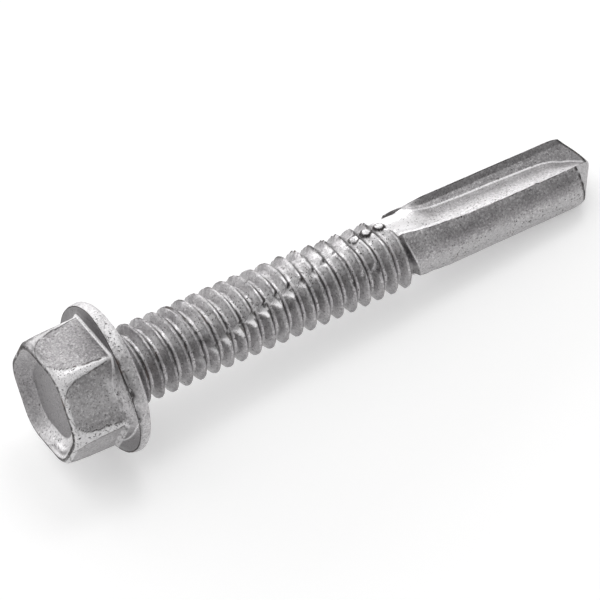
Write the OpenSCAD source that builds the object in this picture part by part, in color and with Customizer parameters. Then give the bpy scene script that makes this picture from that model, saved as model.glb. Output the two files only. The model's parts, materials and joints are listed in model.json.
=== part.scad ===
// Self drilling screw: hex washer head, rolled thread and fluted drill point, in millimetres.
// It lies as it comes to rest: on the rim of its flange and on the edges of one drill flute.
// The screw's own axis is Z in every module below, from the bearing face at 0 to the point at
// screw_len, and angles turn about it the way the thread does. lying() lays it down at the end.

/* [Overall] */
// Bearing face to the tip of the point
screw_len = 37.5; // [34:0.1:42]

/* [Flange] */
// Diameter of the flange
flange_d = 10.6; // [10.4:0.1:13]
// Thickness of the flange at its rim
flange_t = 1; // [0.8:0.02:1.2]
// How much thicker the flange is at the hexagon than at its rim
flange_rise = 0.12; // [0.1:0.01:0.3]
// Rounding of the rim's two edges
rim_r = 0.34; // [0.1:0.01:0.39]
// Height of the fillet between the bearing face and the shank
fillet_h = 0.4; // [0.2:0.05:0.6]

/* [Hexagon] */
// Width across the flats
hex_af = 7.94; // [7:0.01:8.1]
// Bearing face to the top of the head
head_h = 5.1; // [4:0.05:6.5]
// Turn of the hexagon's first corner
hex_turn = -13; // [-30:1:30]
// How much the hexagon's corners are rounded off
corner_cut = 0.1; // [0.05:0.01:0.25]
// Rounding of the top edge along each flat
edge_r = 0.6; // [0.3:0.05:0.7]
// Rounding of the top edge at the corners
crown_r = 0.9; // [0.4:0.05:1.1]
// Width of the bevel where the hexagon meets the flange
foot_w = 0.18; // [0.05:0.01:0.2]

/* [Recess in the head] */
// Width of the flat rim between the rounded top edge and the recess
recess_rim_w = 0.15; // [0.1:0.01:0.5]
// Depth of the recess
recess_depth = 0.78; // [0.3:0.02:1.2]
// How far the recess's wall slopes inward on its way down
recess_slope_w = 0.6; // [0.2:0.05:1]
// How far the recess's corners stand out beyond its flats, as a ratio
recess_corner = 1.05; // [1.02:0.01:1.12]

/* [Thread] */
// Diameter over the crests
thread_major_d = 5.42; // [5.2:0.01:6]
// Diameter at the roots
thread_minor_d = 4.2; // [3.8:0.05:4.5]
// Distance from one crest to the next, 24 to the inch
thread_pitch = 1.0583; // [0.95:0.0001:1.4]
// Bearing face to the end of the last full turn
thread_len = 21.7; // [16:0.1:23]
// Width of the flat on a crest
crest_w = 0.16; // [0.1:0.01:0.22]
// Width of the flat in a root
root_w = 0.2; // [0.1:0.01:0.25]

/* [Drill point] */
// Diameter of the drill where it leaves the thread
drill_d = 5; // [4.8:0.05:5.2]
// Diameter of the drill at the outer corners of its point
drill_tip_d = 4.9; // [4.6:0.01:5]
// Length of the plain neck between the thread and the drill
neck_len = 0.3; // [0.2:0.1:1]
// Angle of the point
point_angle = 108; // [100:1:135]
// Radius of the blunt end of the point
blunt_r = 0.3; // [0.1:0.05:0.6]

/* [Flutes] */
// Turn of the first cutting lip
lip_turn = -80; // [-90:1:-60]
// Angle that a flute takes out of the drill's outside
flute_span = 77; // [50:1:85]
// Radius at which the bottom of a flute runs
flute_root_r = 1.57; // [1.3:0.01:1.8]
// How far the flute's back wall is hollowed
flute_hollow = 0.14; // [0.05:0.01:0.25]
// Length over which a flute runs out towards the thread
runout_len = 3.2; // [2:0.1:4]
// Length over which the core thins towards the point
thinning_len = 3.1; // [1.8:0.1:4]
// Radius of the core left at the very tip
chisel_r = 0.2; // [0.1:0.01:0.4]

/* [Hidden] */
$fn = 64;
arc_fn = 24;

major_r = thread_major_d / 2;
minor_r = thread_minor_d / 2;
drill_r = drill_d / 2;
drill_tip_r = drill_tip_d / 2;
flange_r = flange_d / 2;
past = 0.5;
sink = 0.3;
fillet_clear = 0.08;

hex_corner_r = hex_af / sqrt(3) - corner_cut;
rim_top_r = hex_af / 2 - edge_r;
recess_mouth_r = rim_top_r - recess_rim_w;
recess_floor_r = recess_mouth_r - recess_slope_w;

// The thread is drawn in steps round the screw, with four points to a ridge at each step
turn_steps = 24;
ridge_points = 4;
flank_w = (thread_pitch - crest_w - root_w) / 2;
ridge_w = 2 * flank_w + crest_w;
hidden_turn = 1;
turns = ceil(thread_len / thread_pitch) + hidden_turn;
thread_end = thread_len + thread_pitch;
thread_start = thread_end - turns * thread_pitch - ridge_w;
core_end = max(thread_end, thread_len + neck_len) + sink;
fade_in = 0.25 * turn_steps;
fade_out = 0.75 * turn_steps;

// The drill's outer corners and the height of its point
drill_start = thread_len + neck_len;
point_h = (drill_tip_r - blunt_r) / tan(point_angle / 2);
shoulder = screw_len - point_h;

// The flutes: they begin inside the last turns, turned back by these angles and curving in
flute_start = drill_start - 2 * past;
lip_sweep = 30;
heel_sweep = 16;
wall_steps = 5;
runout_steps = 8;
thinning_steps = 6;

// Lying: the flange's rim and the two edges of the lower flute touch the ground together
rim_radial = flange_r - rim_r;
edge_drop = drill_tip_r * cos(flute_span / 2);
lean_run = shoulder + rim_r;
lean_rise = rim_radial - edge_drop;
rest_tilt = atan(lean_rise / lean_run) + asin(rim_r / norm([lean_run, lean_rise]));
rest_z = shoulder * sin(rest_tilt) + edge_drop * cos(rest_tilt);
front_x = screw_len * cos(rest_tilt);
back_x = -head_h * cos(rest_tilt) - rim_top_r * sin(rest_tilt);
rest_x = -(front_x + back_x) / 2;
flute_down = lip_turn + flute_span / 2 + 180;

// The fillet under the head, whose foot stands just clear of the crests
module fillet() {
    foot_r = major_r + fillet_clear;
    slope = (foot_r - minor_r) / fillet_h;
    inner_r = minor_r - sink;
    translate([0, 0, -sink])
        cylinder(r1 = foot_r + sink * slope, r2 = inner_r, h = sink + (foot_r - inner_r) / slope);
}

// The flange: a disc with a rounded rim whose top rises a little towards the hexagon
module flange() {
    flange_top = flange_t + flange_rise;
    mirror([0, 0, 1])
        rotate_extrude()
            union() {
                square([rim_radial, flange_t]);
                translate([0, rim_r])
                    square([flange_r, flange_t - 2 * rim_r]);
                for (rim_z = [rim_r, flange_t - rim_r])
                    translate([rim_radial, rim_z])
                        circle(rim_r, $fn = arc_fn);
                polygon([[0, 0], [rim_radial, flange_t], [hex_af / 2, flange_top], [0, flange_top]]);
            }
}

// A slab between two opposite flats, with the long edges of its top rounded
module rounded_slab() {
    slab_len = 3 * hex_af;
    rotate([90, 0, 0])
        linear_extrude(slab_len, center = true)
            union() {
                square([hex_af - 2 * edge_r, 2 * head_h], center = true);
                square([hex_af, 2 * (head_h - edge_r)], center = true);
                for (side = [-1, 1])
                    translate([side * (hex_af / 2 - edge_r), head_h - edge_r])
                        circle(edge_r, $fn = arc_fn);
            }
}

// The six flats: three slabs laid across each other
module flats() {
    intersection_for(turn = [0, 60, 120])
        rotate([0, 0, hex_turn + 30 + turn])
            rounded_slab();
}

// The turned blank that rounds off the hexagon's corners
module turned_blank() {
    rotate_extrude()
        union() {
            square([hex_corner_r - crown_r, head_h]);
            square([hex_corner_r, head_h - crown_r]);
            translate([hex_corner_r - crown_r, head_h - crown_r])
                circle(crown_r, $fn = 2 * arc_fn);
        }
}

module hexagon() {
    mirror([0, 0, 1])
        intersection() {
            flats();
            turned_blank();
        }
}

// The low six-sided bevel on which the hexagon stands on the flange
module hexagon_foot() {
    bevel_h = flange_rise + 2 * foot_w;
    mirror([0, 0, 1])
        translate([0, 0, flange_t - foot_w])
            rotate([0, 0, hex_turn])
                cylinder(r1 = (hex_af / 2 + bevel_h) / cos(30), r2 = hex_af / sqrt(3),
                    h = bevel_h, $fn = 6);
}

// The dish in the top of the head: six sloping walls whose corners a cone rounds off
module recess() {
    mouth_r = recess_mouth_r + past * recess_slope_w / recess_depth;
    translate([0, 0, -head_h - past])
        intersection() {
            rotate([0, 0, hex_turn])
                cylinder(r1 = mouth_r / cos(30), r2 = recess_floor_r / cos(30),
                    h = recess_depth + past, $fn = 6);
            cylinder(r1 = mouth_r * recess_corner, r2 = recess_floor_r * recess_corner,
                h = recess_depth + past);
        }
}

module head() {
    difference() {
        union() {
            flange();
            fillet();
            hexagon();
            hexagon_foot();
        }
        recess();
    }
}

// How much of its height the ridge has at a step along it, from 0 at its ends to 1
function ridge(step) = min(1, step / fade_in, (turns * turn_steps - 1 - step) / fade_out);

// The points of a ridge at one step: 0 and 3 lie in the root, 1 and 2 on the crest
function ridge_z(point) = [0, flank_w, flank_w + crest_w, ridge_w][point];
function ridge_r(point, step) =
    point == 0 || point == 3 ? minor_r : minor_r + (major_r - minor_r) * ridge(step);
function on_screw(r, a, z) = [r * cos(360 * a / turn_steps), r * sin(360 * a / turn_steps), z];

// One column of points along the screw: every ridge that crosses it, between two end points
function column(a) = concat(
    [on_screw(minor_r, a, thread_start - sink)],
    [for (k = [0 : turns - 1], point = [0 : ridge_points - 1])
        on_screw(ridge_r(point, k * turn_steps + a), a,
            thread_start + thread_pitch * (k + a / turn_steps) + ridge_z(point))],
    [on_screw(minor_r, a, core_end)]);

// The thread: columns joined side by side, the last to the first one ridge further on
module thread() {
    rows = ridge_points * turns + 2;
    last = rows - 1;
    end = (turn_steps - 1) * rows;
    joined = last - ridge_points - 1;
    points = [for (a = [0 : turn_steps - 1]) each column(a)];
    side = [for (a = [0 : turn_steps - 2], i = [0 : last - 1])
        each [[a * rows + i, a * rows + i + 1, (a + 1) * rows + i + 1],
            [a * rows + i, (a + 1) * rows + i + 1, (a + 1) * rows + i]]];
    seam = [for (i = [1 : joined - 1])
        each [[end + i, end + i + 1, i + 1 + ridge_points],
            [end + i, i + 1 + ridge_points, i + ridge_points]]];
    seam_low = concat([[end, end + 1, 1 + ridge_points]],
        [for (i = [1 + ridge_points : -1 : 1]) [end, i, i - 1]]);
    seam_high = concat([for (i = [joined : last - 1]) [end + i, end + i + 1, last - 1]],
        [[end + last, last, last - 1]]);
    bottom = [[for (a = [0 : turn_steps - 1]) a * rows]];
    top = [[for (a = [turn_steps - 1 : -1 : 0]) a * rows + last]];
    polyhedron(points = points, faces = concat(side, seam, seam_low, seam_high, bottom, top));
}

// The drill: a chamfered start out of the thread's core, a slightly tapered body and its point
module drill_blank() {
    chamfer = drill_r - minor_r;
    translate([0, 0, drill_start - sink])
        cylinder(r1 = minor_r - sink, r2 = drill_r, h = chamfer + sink);
    translate([0, 0, drill_start + chamfer])
        cylinder(r1 = drill_r, r2 = drill_tip_r, h = shoulder - drill_start - chamfer);
    translate([0, 0, shoulder])
        cylinder(r1 = drill_tip_r, r2 = blunt_r, h = point_h);
}

// The hollow back wall of a flute from its root to the heel, q running from 0 to 1
function on_circle(r, angle) = [r * cos(angle), r * sin(angle)];
function back_wall(root, heel, q) =
    let (run = heel - root, across = [run[1], -run[0]] / norm(run))
    root + q * run - across * flute_hollow * 4 * q * (1 - q);

// One section of the room that a flute takes: the lip's radial face, the root and the back wall
function flute_section(root_r, lip, heel) =
    let (root = on_circle(root_r, lip), edge = on_circle(drill_r, heel), clear = 2 * drill_r)
    concat(
        [for (i = [0 : wall_steps]) back_wall(root, edge, i / wall_steps)],
        [edge + on_circle(drill_r, heel),
            on_circle(clear + drill_r, (lip + heel) / 2),
            on_circle(clear, lip)]);

// A station of the flute is [height, root radius, lip angle, heel angle]
module flute() {
    lip = lip_turn;
    heel = lip_turn + flute_span;
    outside = major_r + sink;
    runout = [for (i = [0 : runout_steps])
        let (left = pow(1 - i / runout_steps, 2))
        [flute_start + runout_len * i / runout_steps,
            flute_root_r + (outside - flute_root_r) * left,
            lip - lip_sweep * left, heel - heel_sweep * left]];
    thinning = [for (i = [0 : thinning_steps])
        let (q = i / thinning_steps)
        [screw_len - thinning_len * (1 - q),
            flute_root_r + (chisel_r - flute_root_r) * q * (2 - q), lip, heel]];
    stations = concat(runout, thinning, [[screw_len + past, chisel_r, lip, heel]]);
    sections = [for (s = stations)
        [for (p = flute_section(s[1], s[2], s[3])) [p[0], p[1], s[0]]]];
    count = len(sections[0]);
    side = [for (s = [0 : len(sections) - 2], i = [0 : count - 1])
        let (j = (i + 1) % count, here = s * count, there = (s + 1) * count)
        each [[here + i, here + j, there + j], [here + i, there + j, there + i]]];
    top = (len(sections) - 1) * count;
    polyhedron(points = [for (s = sections) each s],
        faces = concat(side, [[for (i = [count - 1 : -1 : 0]) i]],
            [[for (i = [0 : count - 1]) top + i]]));
}

// The whole screw along its own axis, point upwards
module upright_screw() {
    head();
    difference() {
        union() {
            thread();
            drill_blank();
        }
        for (turn = [0, 180])
            rotate([0, 0, turn])
                flute();
    }
}

// Lays the screw down: one flute faces the ground and the axis leans from the flange to the tip
module lying() {
    translate([rest_x, 0, rest_z])
        rotate([0, 90 + rest_tilt, 0])
            rotate([0, 0, -flute_down])
                children();
}

module screw() {
    color("silver")
        lying()
            upright_screw();
}

screw();
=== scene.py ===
# %% [markdown]
# # A self drilling screw, lying as it comes to rest
# The real one is cold headed and thread rolled from one steel wire: a hexagon head with a
# flange, a rolled thread, and a fluted drill point that is pinched or milled at the end.
# A coat of zinc then covers all of it. The solid model already has the size and the main forms.
# Here the same screw is made again as two finely divided surfaces, because the marks that
# the dies leave on it are much smaller than the faces of a solid model.

import json

import bmesh
import bpy
import numpy as np
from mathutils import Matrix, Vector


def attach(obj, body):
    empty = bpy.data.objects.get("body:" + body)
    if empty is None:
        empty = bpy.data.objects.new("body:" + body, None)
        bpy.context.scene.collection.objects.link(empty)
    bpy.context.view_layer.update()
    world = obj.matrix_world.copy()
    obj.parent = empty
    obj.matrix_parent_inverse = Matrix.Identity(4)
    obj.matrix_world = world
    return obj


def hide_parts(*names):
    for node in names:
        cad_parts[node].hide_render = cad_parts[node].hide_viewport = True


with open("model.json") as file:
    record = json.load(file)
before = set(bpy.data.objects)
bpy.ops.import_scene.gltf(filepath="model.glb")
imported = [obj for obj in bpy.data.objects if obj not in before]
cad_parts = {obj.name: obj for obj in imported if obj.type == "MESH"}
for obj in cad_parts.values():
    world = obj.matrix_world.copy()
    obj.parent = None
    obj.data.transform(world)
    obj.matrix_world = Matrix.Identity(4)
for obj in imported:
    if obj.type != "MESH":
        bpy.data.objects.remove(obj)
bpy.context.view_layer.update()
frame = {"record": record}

# %% [markdown]
# ## The screw's own axes
# Every form of a screw is easiest to say in its own terms: how far along the axis, how far
# out, and at which angle round it. The record's mount on the thread gives the axis as it lies.
# Lengths are in millimetres until a surface is put into Blender, which wants metres.

# %% Axes of the screw
MM = 0.001
THREAD_MOUNT_S = 11.0
FLUTE_DOWN = 138.5
mounts = {mount["name"]: mount for mount in frame["record"]["mounts"]}
axis = np.array(mounts["thread"]["axis"])
axis /= np.linalg.norm(axis)
bearing_centre = np.array(mounts["thread"]["pos_m"]) / MM - THREAD_MOUNT_S * axis
across = np.array([0.0, 1.0, 0.0])
downward = np.cross(across, axis)


def radial(angle):
    """Direction square to the axis at an angle round it, in degrees.
    Formula: cosine of the angle from the low side times down, plus its sine times across."""
    turn = np.radians(angle - FLUTE_DOWN)
    return np.cos(turn) * downward + np.sin(turn) * across


FRONT, SIDE = radial(0), radial(90)
print("axis", axis.round(4), "bearing face centre in mm", bearing_centre.round(3))

# %% [markdown]
# ## Small helpers for shapes
# Rolled and hammered metal is never quite even. A smooth step eases one form into another,
# a bump adds a local swelling round the axis, and value noise gives the small unevenness.
# The noise is a table of random numbers from a fixed seed, so every run gives the same screw.

# %% Steps, bumps and noise
def ease(low, high, value):
    """Smooth step from 0 at low to 1 at high: three squares less two cubes of the share."""
    share = np.clip((value - low) / (high - low), 0, 1)
    return share * share * (3 - 2 * share)


def turn_from(angle, centre):
    """Way round the axis from a centre to an angle, in degrees from -180 to 180."""
    return (angle - centre + 180) % 360 - 180


def bump(angle, centre, half_width):
    """Swelling round the axis: a squared cosine, 1 at the centre and 0 at the half width."""
    away = np.abs(turn_from(angle, centre)) / half_width
    return np.where(away < 1, np.cos(np.minimum(away, 1) * np.pi / 2) ** 2, 0)


NOISE_CELLS, NOISE_START = 32, 1000.0


def unevenness(points, size, seed):
    """Value noise from -1 to 1 with lumps about `size` mm wide.
    Formula: random numbers on a lattice, mixed by the eased distances to the eight corners."""
    table = np.random.default_rng(seed).random((NOISE_CELLS,) * 3) * 2 - 1
    place = points / size + NOISE_START
    cell = np.floor(place).astype(int)
    share = place - cell
    share = share * share * (3 - 2 * share)
    total = 0
    for corner in np.ndindex(2, 2, 2):
        weight = np.prod(np.where(corner, share, 1 - share), axis=-1)
        index = (cell + corner) % NOISE_CELLS
        total = total + weight * table[index[..., 0], index[..., 1], index[..., 2]]
    return total


print("noise sample", unevenness(np.array([[1.0, 2.0, 3.0]]), 0.5, 1).round(3))

# %% [markdown]
# ## From a grid of points to a mesh
# Both surfaces are grids: columns run along the screw and rows run round it. A ring of columns
# closes on itself, and a pole closes each end with a fan of triangles, so no hole is left.
# A thread's rows climb one pitch in a turn, so its last column meets its first one a pitch
# further on. There the two edges are closed like a zip: the triangles take the next point of
# whichever edge is behind. Sorting both edges' heights gives that order for all at once.

# %% Faces of a grid
def ring_faces(rows, columns):
    """Quads between neighbouring columns of a grid, without the closing pair of columns."""
    row, column = np.meshgrid(np.arange(rows - 1), np.arange(columns - 1), indexing="ij")
    here = row * columns + column
    return np.stack([here, here + columns, here + columns + 1, here + 1], -1).reshape(-1, 4)


def zip_faces(last_heights, first_heights, columns):
    """Triangles between the last column and the first, ordered by the next point's height.
    Formula: both columns' next heights sorted together; running counts give each one's place."""
    rows = len(last_heights)
    from_last = np.concatenate([np.ones(rows - 1, bool), np.zeros(rows - 1, bool)])
    order = np.argsort(np.concatenate([last_heights[1:], first_heights[1:]]), kind="stable")
    step_last = from_last[order]
    at_last = np.cumsum(step_last) - step_last
    at_first = np.cumsum(~step_last) - ~step_last
    last = at_last * columns + columns - 1
    first = at_first * columns
    third = np.where(step_last, last + columns, first + columns)
    return np.stack([last, third, first], -1)


def pole_faces(rows, columns):
    """Two fans of triangles, round the pole before the first row and the one after the last."""
    ring = np.arange(columns)
    following = (ring + 1) % columns
    last_row = (rows - 1) * columns
    first_pole = np.full(columns, rows * columns)
    low_fan = np.stack([first_pole, ring, following], -1)
    high_fan = np.stack([first_pole + 1, last_row + following, last_row + ring], -1)
    return np.concatenate([low_fan, high_fan])


print("a grid of 3 rows and 4 columns has", len(ring_faces(3, 4)), "quads and",
      len(pole_faces(3, 4)), "triangles at its poles")

# %% Points and faces to a mesh
def fill_mesh(name, points, quads, triangles):
    """A mesh from points in millimetres and faces, written as whole arrays.
    Each face's corners are taken in reverse, which turns it outwards."""
    mesh = bpy.data.meshes.new(name)
    loops = np.concatenate([quads[:, ::-1].ravel(), triangles[:, ::-1].ravel()])
    sizes = np.concatenate([np.full(len(quads), 4), np.full(len(triangles), 3)])
    starts = np.concatenate([[0], np.cumsum(sizes)[:-1]])
    mesh.vertices.add(len(points))
    mesh.vertices.foreach_set("co", (points * MM).ravel())
    mesh.loops.add(len(loops))
    mesh.loops.foreach_set("vertex_index", loops.astype(np.int32))
    mesh.polygons.add(len(sizes))
    mesh.polygons.foreach_set("loop_start", starts.astype(np.int32))
    mesh.update(calc_edges=True)
    mesh.validate()
    return mesh


def measure(mesh):
    """Prints a mesh's triangles, its volume, and how many of its edges are open."""
    solid = bmesh.new()
    solid.from_mesh(mesh)
    print(mesh.name, "triangles", len(mesh.loops) - 2 * len(mesh.polygons),
          "volume", round(solid.calc_volume(signed=True) / MM ** 3, 1), "mm3",
          "open edges", sum(edge.is_boundary for edge in solid.edges))
    solid.free()


# %% A closed piece
TIP_RING, TIP_RISE = 0.2, 0.004


def closed_mesh(name, along, out_front, out_side, marks, sharp_angle, heights):
    """A closed piece from grids of distances along the axis, to the front and to the side.
    Poles close its first and last rows, and a zip by height its first and last columns.
    A last ring as small as a drill's tip has its pole a little past it, not level with it."""
    rows, columns = along.shape
    points = (bearing_centre + along[..., None] * axis + out_front[..., None] * FRONT
              + out_side[..., None] * SIDE).reshape(-1, 3)
    poles = bearing_centre + np.array([[along[0].mean()], [along[-1].mean()]]) * axis
    if np.hypot(out_front[-1], out_side[-1]).max() < TIP_RING:
        poles[1] = bearing_centre + (along[-1].max() + TIP_RISE) * axis
    seam = zip_faces(heights[:, -1], heights[:, 0], columns)
    mesh = fill_mesh(name, np.concatenate([points, poles]), ring_faces(rows, columns),
                     np.concatenate([seam, pole_faces(rows, columns)]))
    for mark, grid in marks.items():
        layer = mesh.attributes.new(mark, "FLOAT", "POINT")
        ends = [grid[0].mean(), grid[-1].mean()]
        layer.data.foreach_set("value", np.append(grid.ravel(), ends).astype(np.float32))
    mesh.shade_smooth()
    mesh.set_sharp_from_angle(angle=np.radians(sharp_angle))
    measure(mesh)
    piece = bpy.data.objects.new(name, mesh)
    bpy.context.scene.collection.objects.link(piece)
    return piece


# %% [markdown]
# ## The head
# A punch strikes the hexagon and its flange in one blow, and presses a shallow dish into the
# top. The metal doesn't fill the die's corners: each corner is round, most of all near the top,
# where the crown runs over into the flats. Radius of a corner against depth is a short table,
# read off the photograph, and the flats are cut off by it along the curved lines that one sees.
# The surface is one profile, from the middle of the dish out over the crown, down the flats,
# over the flange and back to the middle of the bearing face. The shank grows out of that.

# %% Sizes of the head
HEAD_TOP = -5.1
HEX_TURN = -13.0
HALF_FLAT, FOOT_CORNER, FLAT_LENGTH = 3.97, 0.3, 3.6
TOP_ROUND = 0.28
CORNER_DEPTHS = [0.0, 0.2, 0.6, 1.0, 2.0, 3.5, 5.0]
CORNER_ROUNDS = [2.0, 1.75, 1.4, 1.1, 0.78, 0.42, 0.3]
RECESS_DEPTH, FLOOR_SWELL = 0.78, 0.05
FLOOR_HALF, FLOOR_CORNER = 2.62, 1.7
MOUTH_HALF, MOUTH_CORNER = 3.58, 2.0
RIM_HALF = HALF_FLAT - TOP_ROUND
FLANGE_RADIUS, FLANGE_EDGE, FLANGE_LIMIT = 5.3, 5.17, 5.33
SIDE_END, LOWER_ROUND = -0.34, 0.3
SECTOR_COLUMNS = 44
FLOOR_ROWS, WALL_ROWS, CROWN_ROWS, FLAT_ROWS = 20, 18, 18, 32
SLOPE_ROWS, SIDE_ROWS, LOWER_ROWS, BEARING_ROWS = 16, 14, 10, 16


def from_corner(angle):
    """Degrees from the nearest corner of the hexagon, 0 to 30."""
    return np.abs((angle - HEX_TURN + 30) % 60 - 30)


def flat_reach(half, corner):
    """Degrees from a flat's middle to where its corner's arc of radius `corner` begins."""
    return np.degrees(np.arctan((half - corner) / np.cos(np.pi / 6) * 0.5 / half))


def hexagon_radius(angle, half, corner):
    """Distance from the axis to a hexagon whose corners are arcs of radius `corner`.
    Formula: on a flat, half the width over the cosine from its middle; at a corner, the
    far root of the circle about a centre on the corner's line."""
    away = from_corner(angle)
    centre = (half - corner) / np.cos(np.pi / 6)
    turn = np.radians(away)
    under = np.maximum(corner ** 2 - (centre * np.sin(turn)) ** 2, 0)
    return np.where(away < 30 - flat_reach(half, corner), centre * np.cos(turn) + np.sqrt(under),
                    half / np.cos(np.radians(30 - away)))


print("hexagon", 2 * HALF_FLAT, "mm across the flats, flange", 2 * FLANGE_RADIUS, "mm across")

# %% [markdown]
# The columns stand closer together at the hexagon's corners. The blow wasn't quite square: on
# one side the flange is thicker, so that the flats end higher over the bearing face, and the
# bevel at their foot is wider. `foot_low` is 1 on that side and 0 on the other.

# %% Columns of the head
spread = np.linspace(-1, 1, SECTOR_COLUMNS, endpoint=False)
sector = 30 * spread * (0.4 + 0.6 * np.abs(spread))
head_angle = (HEX_TURN + 60 * np.arange(6)[:, None] + sector[None, :]).ravel()[None, :]
foot_low = ease(-14, 16, head_angle) * (1 - ease(88, 116, head_angle))
foot_s = -1.06 - 0.46 * foot_low
edge_s = -(0.8 + 0.32 * bump(head_angle, 2, 75) + 0.15 * bump(head_angle, -150, 60))
flat_foot = hexagon_radius(head_angle, HALF_FLAT, FOOT_CORNER)
print("columns", head_angle.size, "flats end from", foot_s.min().round(2), "to",
      foot_s.max().round(2))

# %% Rows of the dish
rows_r, rows_s, rows_kind = [], [], []


def head_row(radius, height, kind):
    """Adds one row of the head's profile: its radius, its place along the axis and its kind."""
    rows_r.append(np.ravel(radius + 0 * head_angle))
    rows_s.append(np.ravel(height + 0 * head_angle))
    rows_kind.append(kind)


floor_outline = hexagon_radius(head_angle, FLOOR_HALF, FLOOR_CORNER)
mouth_outline = hexagon_radius(head_angle, MOUTH_HALF, MOUTH_CORNER)
rim_outline = hexagon_radius(head_angle, RIM_HALF, MOUTH_CORNER)
for share in np.linspace(0.02, 0.97, FLOOR_ROWS):
    swell = FLOOR_SWELL * (1 - share ** 2)
    head_row(floor_outline * share, HEAD_TOP + RECESS_DEPTH - swell, "floor")
for share in np.linspace(0, 1, WALL_ROWS):
    rise = 0.35 * share + 0.65 * ease(-0.12, 1.25, share) / ease(-0.12, 1.25, 1.0)
    depth = RECESS_DEPTH * (1 - np.clip(rise, 0, 1)) - 0.03 * (1 - share)
    head_row(floor_outline + (mouth_outline - floor_outline) * share, HEAD_TOP + depth, "wall")
for share in (0.35, 0.7):
    head_row(mouth_outline + (rim_outline - mouth_outline) * share, HEAD_TOP - 0.012, "rim")
print("rows of the dish", len(rows_r))

# %% Rows of the crown and the flats
depths = np.concatenate([TOP_ROUND * (1 - np.cos(np.linspace(0.12, np.pi / 2, CROWN_ROWS))),
                         np.linspace(TOP_ROUND + 0.05, 3.45, FLAT_ROWS)])
for depth in depths:
    half = RIM_HALF + np.sqrt(max(TOP_ROUND ** 2 - max(TOP_ROUND - depth, 0) ** 2, 0))
    corner = np.interp(depth, CORNER_DEPTHS, CORNER_ROUNDS)
    share = depth / FLAT_LENGTH
    height = HEAD_TOP + depth + (foot_s - (HEAD_TOP + FLAT_LENGTH)) * ease(0.3, 1, share) * share
    head_row(hexagon_radius(head_angle, half, corner), height, "flat")
head_row(flat_foot, foot_s - 0.1 - 0.03 * foot_low, "flat")
print("rows with the flats", len(rows_r))

# %% Rows of the bevel at the foot and the flange's slope
slope_from = flat_foot + 0.16 + 0.16 * foot_low
head_row(flat_foot + 0.03 + 0.04 * foot_low, foot_s - 0.05 - 0.02 * foot_low, "foot")
head_row(flat_foot + 0.1 + 0.1 * foot_low, foot_s - 0.005, "foot")
head_row(slope_from, foot_s + 0.015, "foot")
reach = np.minimum(slope_from, FLANGE_EDGE - 0.12)
for share in np.linspace(0.12, 1, SLOPE_ROWS):
    sag = 0.05 * np.sin(np.pi * share)
    slope_r = reach + (FLANGE_EDGE - 0.05 - reach) * share
    head_row(slope_r, foot_s + 0.015 + (edge_s - foot_s - 0.015) * share + sag, "flange")
print("rows with the flange's slope", len(rows_r))

# %% [markdown]
# The flange's edge is where the metal squeezed out between the two dies: its top corner is
# tight and holds dirt, its side bulges, and its lower corner is round. The bearing face closes
# the head towards the axis, inside the shank.

# %% The flange's edge and the bearing face
head_row(FLANGE_EDGE - 0.02, edge_s + 0.012, "seam")
head_row(FLANGE_EDGE + 0.01, edge_s + 0.02, "seam")
head_row(FLANGE_EDGE + 0.05, edge_s + 0.03, "rim side")
for share in np.linspace(0.1, 1, SIDE_ROWS):
    turn = share * np.pi / 2
    side_r = FLANGE_EDGE + 0.05 + (FLANGE_RADIUS - FLANGE_EDGE - 0.05) * np.sin(turn) ** 0.8
    head_row(side_r, edge_s + 0.03 + share * (SIDE_END - edge_s - 0.03), "rim side")
for turn in np.linspace(0, np.pi / 2, LOWER_ROWS)[1:]:
    head_row(FLANGE_RADIUS - LOWER_ROUND + LOWER_ROUND * np.cos(turn),
             SIDE_END - SIDE_END * np.sin(turn), "rim side")
for radius in np.linspace(4.9, 0.1, BEARING_ROWS):
    head_row(radius, 0.0, "bearing")

head_r = np.array(rows_r)
head_s = np.array(rows_s)
head_kind = np.array(rows_kind)[:, None]
head_phi = np.radians(np.broadcast_to(head_angle, head_r.shape))
head_points = np.stack([head_r * np.cos(head_phi), head_r * np.sin(head_phi), head_s], -1)
print("head rows", len(head_r), "lowest", head_s.min().round(2))

# %% [markdown]
# A pale, rough band with a ragged edge runs round each flat, where the metal didn't touch the
# die. Its share at every point is worked out first, since both the dents and the finish need
# it. Then the lumps follow: the flats stay nearly plane, while the crown, the corners, the
# dish's wall and the flange's edge are rough, because no die pressed them smooth.

# %% The band round the flats
def of_kind(*kinds):
    """1 on the rows of the given kinds and 0 on the others."""
    return np.isin(head_kind, kinds).astype(float)


def near(value, centre, width):
    """A soft ridge: 1 where the value is at the centre, and fading over the width."""
    return np.exp(-((value - centre) / width) ** 2)


on_flats = of_kind("flat") > 0
depth_below = head_s - HEAD_TOP
corner_round = np.interp(depth_below, CORNER_DEPTHS, CORNER_ROUNDS)
ragged = unevenness(head_points, 0.55, 11) + 0.6 * unevenness(head_points, 0.2, 12)
band_edge = ((30 - flat_reach(HALF_FLAT, corner_round)) - from_corner(head_angle)
             + 1.1 * ragged + 12 * np.exp(-depth_below / 0.2))
head_band = np.where(on_flats, np.maximum(ease(-0.8, 0.8, band_edge),
                                          1 - ease(0.2, 0.3, depth_below + 0.04 * ragged)), 0)
head_band = head_band * (1 - 0.8 * bump(head_angle, -100, 62))
head_band = head_band * (1 - 0.8 * bump(head_angle, -50, 60) * ease(0.5, 0.25, depth_below))
head_line = np.where(on_flats, near(band_edge, 0.3, 0.75)
                     * (0.25 + 0.75 * (unevenness(head_points, 0.4, 13) > -0.3)), 0)
print("points in the band", int(head_band.sum()), "of", head_band.size)

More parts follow.
